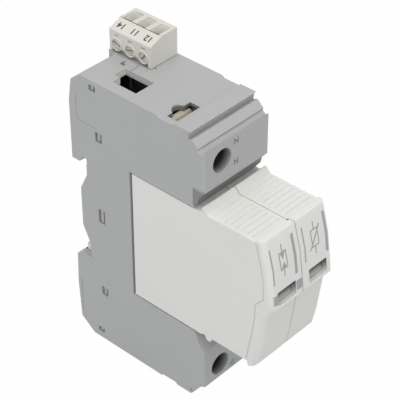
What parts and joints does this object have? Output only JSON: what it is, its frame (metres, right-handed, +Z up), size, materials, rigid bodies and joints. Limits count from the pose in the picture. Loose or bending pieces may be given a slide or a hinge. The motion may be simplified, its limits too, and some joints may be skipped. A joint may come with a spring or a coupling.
{
  "type": "din rail surge arrester",
  "caption": "Slim pluggable surge protective device for a 35 mm top-hat rail: C-shaped terminal base, twin pull-out plugs with status windows, pluggable signalling connector.",
  "frame": {"origin": "rail seat: mid width, in the plane where the rail's flanges bear, on the rail's centre line", "axes": "+Z up the rail's height, +Y out of the back towards the rail, +X along the rail"},
  "size_m": [0.0256, 0.0744, 0.1024],
  "materials": {
    "base_grey": "light grey moulded polyamide, fine matt",
    "plug_white": "white moulded polyamide, fine matt",
    "connector_cream": "warm white moulded polyamide",
    "inner_black": "black moulded polyamide",
    "partition_white": "white insulating plate",
    "status_green": "green indicator field",
    "flag_red": "red indicator flag",
    "slider_grey": "grey moulded slider",
    "copper": "rolled copper strip",
    "tin": "tin-plated sheet",
    "steel": "zinc-plated steel",
    "spark_ceramic": "glazed ceramic barrel",
    "varistor_blue": "epoxy coating on a sintered plate",
    "board_green": "glass-epoxy board"
  },
  "bodies": {
    "base": {"main_housing": "base_grey", "side_cover": "base_grey", "upper_partition": "partition_white", "lower_partition": "partition_white", "n_busbar": "copper", "pe_busbar": "copper", "l_busbar": "copper", "n_clip_left": "tin", "n_clip_right": "tin", "pe_clip": "tin", "l_clip": "tin", "n_clamp_frame": "steel", "pe_clamp_frame": "steel", "l_clamp_frame": "steel", "latch_spring": "steel", "lever_pin": "steel", "signal_switch": "inner_black", "signal_board": "board_green", "remote_header": "inner_black", "header_pins": "tin"},
    "rail_latch": {"rail_latch": "plug_white"},
    "n_plate": {"n_clamp_plate": "tin"},
    "pe_plate": {"pe_clamp_plate": "tin"},
    "l_plate": {"l_clamp_plate": "tin"},
    "n_screw": {"n_screw": "steel"},
    "pe_screw": {"pe_screw": "steel"},
    "l_screw": {"l_screw": "steel"},
    "signal_lever": {"signal_lever": "inner_black"},
    "switch_button": {"switch_button": "inner_black"},
    "gap_plug": {"gap_plug_housing": "plug_white", "gap_plug_cap": "plug_white", "gap_status_field": "status_green", "gap_upper_blade": "tin", "gap_lower_blade": "tin", "spark_gap": "spark_ceramic"},
    "mov_plug": {"mov_plug_housing": "plug_white", "mov_plug_cap": "plug_white", "mov_status_field": "status_green", "mov_upper_blade": "tin", "mov_lower_blade": "tin", "varistor": "varistor_blue", "trip_spring": "steel"},
    "trip_slider": {"trip_slider": "slider_grey", "trip_flag": "flag_red"},
    "remote_connector": {"connector_body": "connector_cream", "connector_clamps": "tin"},
    "connector_screw_1": {"connector_screw_1": "steel"},
    "connector_screw_2": {"connector_screw_2": "steel"},
    "connector_screw_3": {"connector_screw_3": "steel"}
  },
  "joints": [
    {"name": "latch_pull", "type": "slide", "parent": "base", "child": "rail_latch", "axis": [0, 0, -1], "range_m": [0, 0.0035], "stiffness_N_per_m": 900, "springref_m": -0.004, "deforming": ["latch_spring"]},
    {"name": "n_plate_feed", "type": "slide", "parent": "base", "child": "n_plate", "axis": [0, 1, 0], "range_m": [-0.0034, 0]},
    {"name": "n_screw_turn", "type": "hinge", "parent": "n_plate", "child": "n_screw", "pos_m": [-0.0058, -0.0372, 0.0349], "axis": [0, 1, 0], "range_deg": [-1530.1, 0.1]},
    {"name": "pe_plate_feed", "type": "slide", "parent": "base", "child": "pe_plate", "axis": [0, 1, 0], "range_m": [-0.0034, 0]},
    {"name": "pe_screw_turn", "type": "hinge", "parent": "pe_plate", "child": "pe_screw", "pos_m": [-0.0058, -0.0372, -0.0365], "axis": [0, 1, 0], "range_deg": [-1530.1, 0.1]},
    {"name": "l_plate_feed", "type": "slide", "parent": "base", "child": "l_plate", "axis": [0, 1, 0], "range_m": [-0.0034, 0]},
    {"name": "l_screw_turn", "type": "hinge", "parent": "l_plate", "child": "l_screw", "pos_m": [0.0058, -0.0372, -0.0365], "axis": [0, 1, 0], "range_deg": [-1530.1, 0.1]},
    {"name": "gap_plug_pull", "type": "slide", "parent": "base", "child": "gap_plug", "axis": [0, -1, 0], "range_m": [0, 0.036]},
    {"name": "mov_plug_pull", "type": "slide", "parent": "base", "child": "mov_plug", "axis": [0, -1, 0], "range_m": [0, 0.036]},
    {"name": "trip_slide", "type": "slide", "parent": "mov_plug", "child": "trip_slider", "axis": [0, -0.1373, -0.9905], "range_m": [0, 0.0044], "deforming": ["trip_spring"]},
    {"name": "lever_swing", "type": "hinge", "parent": "base", "child": "signal_lever", "pos_m": [0, -0.0045, 0.002], "axis": [1, 0, 0], "range_deg": [0, 16.2]},
    {"name": "button_press", "type": "slide", "parent": "base", "child": "switch_button", "axis": [0, 0, -1], "range_m": [0, 0.00086]},
    {"name": "connector_pull", "type": "slide", "parent": "base", "child": "remote_connector", "axis": [0, 0, 1], "range_m": [0, 0.009]},
    {"name": "connector_screw_1_turn", "type": "hinge", "parent": "remote_connector", "child": "connector_screw_1", "pos_m": [0.0017, -0.009, 0.0478], "axis": [1, 0, 0], "range_deg": [0, 1080]},
    {"name": "connector_screw_2_turn", "type": "hinge", "parent": "remote_connector", "child": "connector_screw_2", "pos_m": [0.0017, -0.004, 0.0478], "axis": [1, 0, 0], "range_deg": [0, 1080]},
    {"name": "connector_screw_3_turn", "type": "hinge", "parent": "remote_connector", "child": "connector_screw_3", "pos_m": [0.0017, 0.001, 0.0478], "axis": [1, 0, 0], "range_deg": [0, 1080]}
  ],
  "couplings": [
    {"joint": "n_screw_turn", "follows": "n_plate_feed", "rad_per_m": 7854},
    {"joint": "pe_screw_turn", "follows": "pe_plate_feed", "rad_per_m": 7854},
    {"joint": "l_screw_turn", "follows": "l_plate_feed", "rad_per_m": 7854},
    {"joint": "lever_swing", "follows": "trip_slide", "rad_per_m": 63.316},
    {"joint": "button_press", "follows": "trip_slide", "ratio": 0.19318}
  ]
}
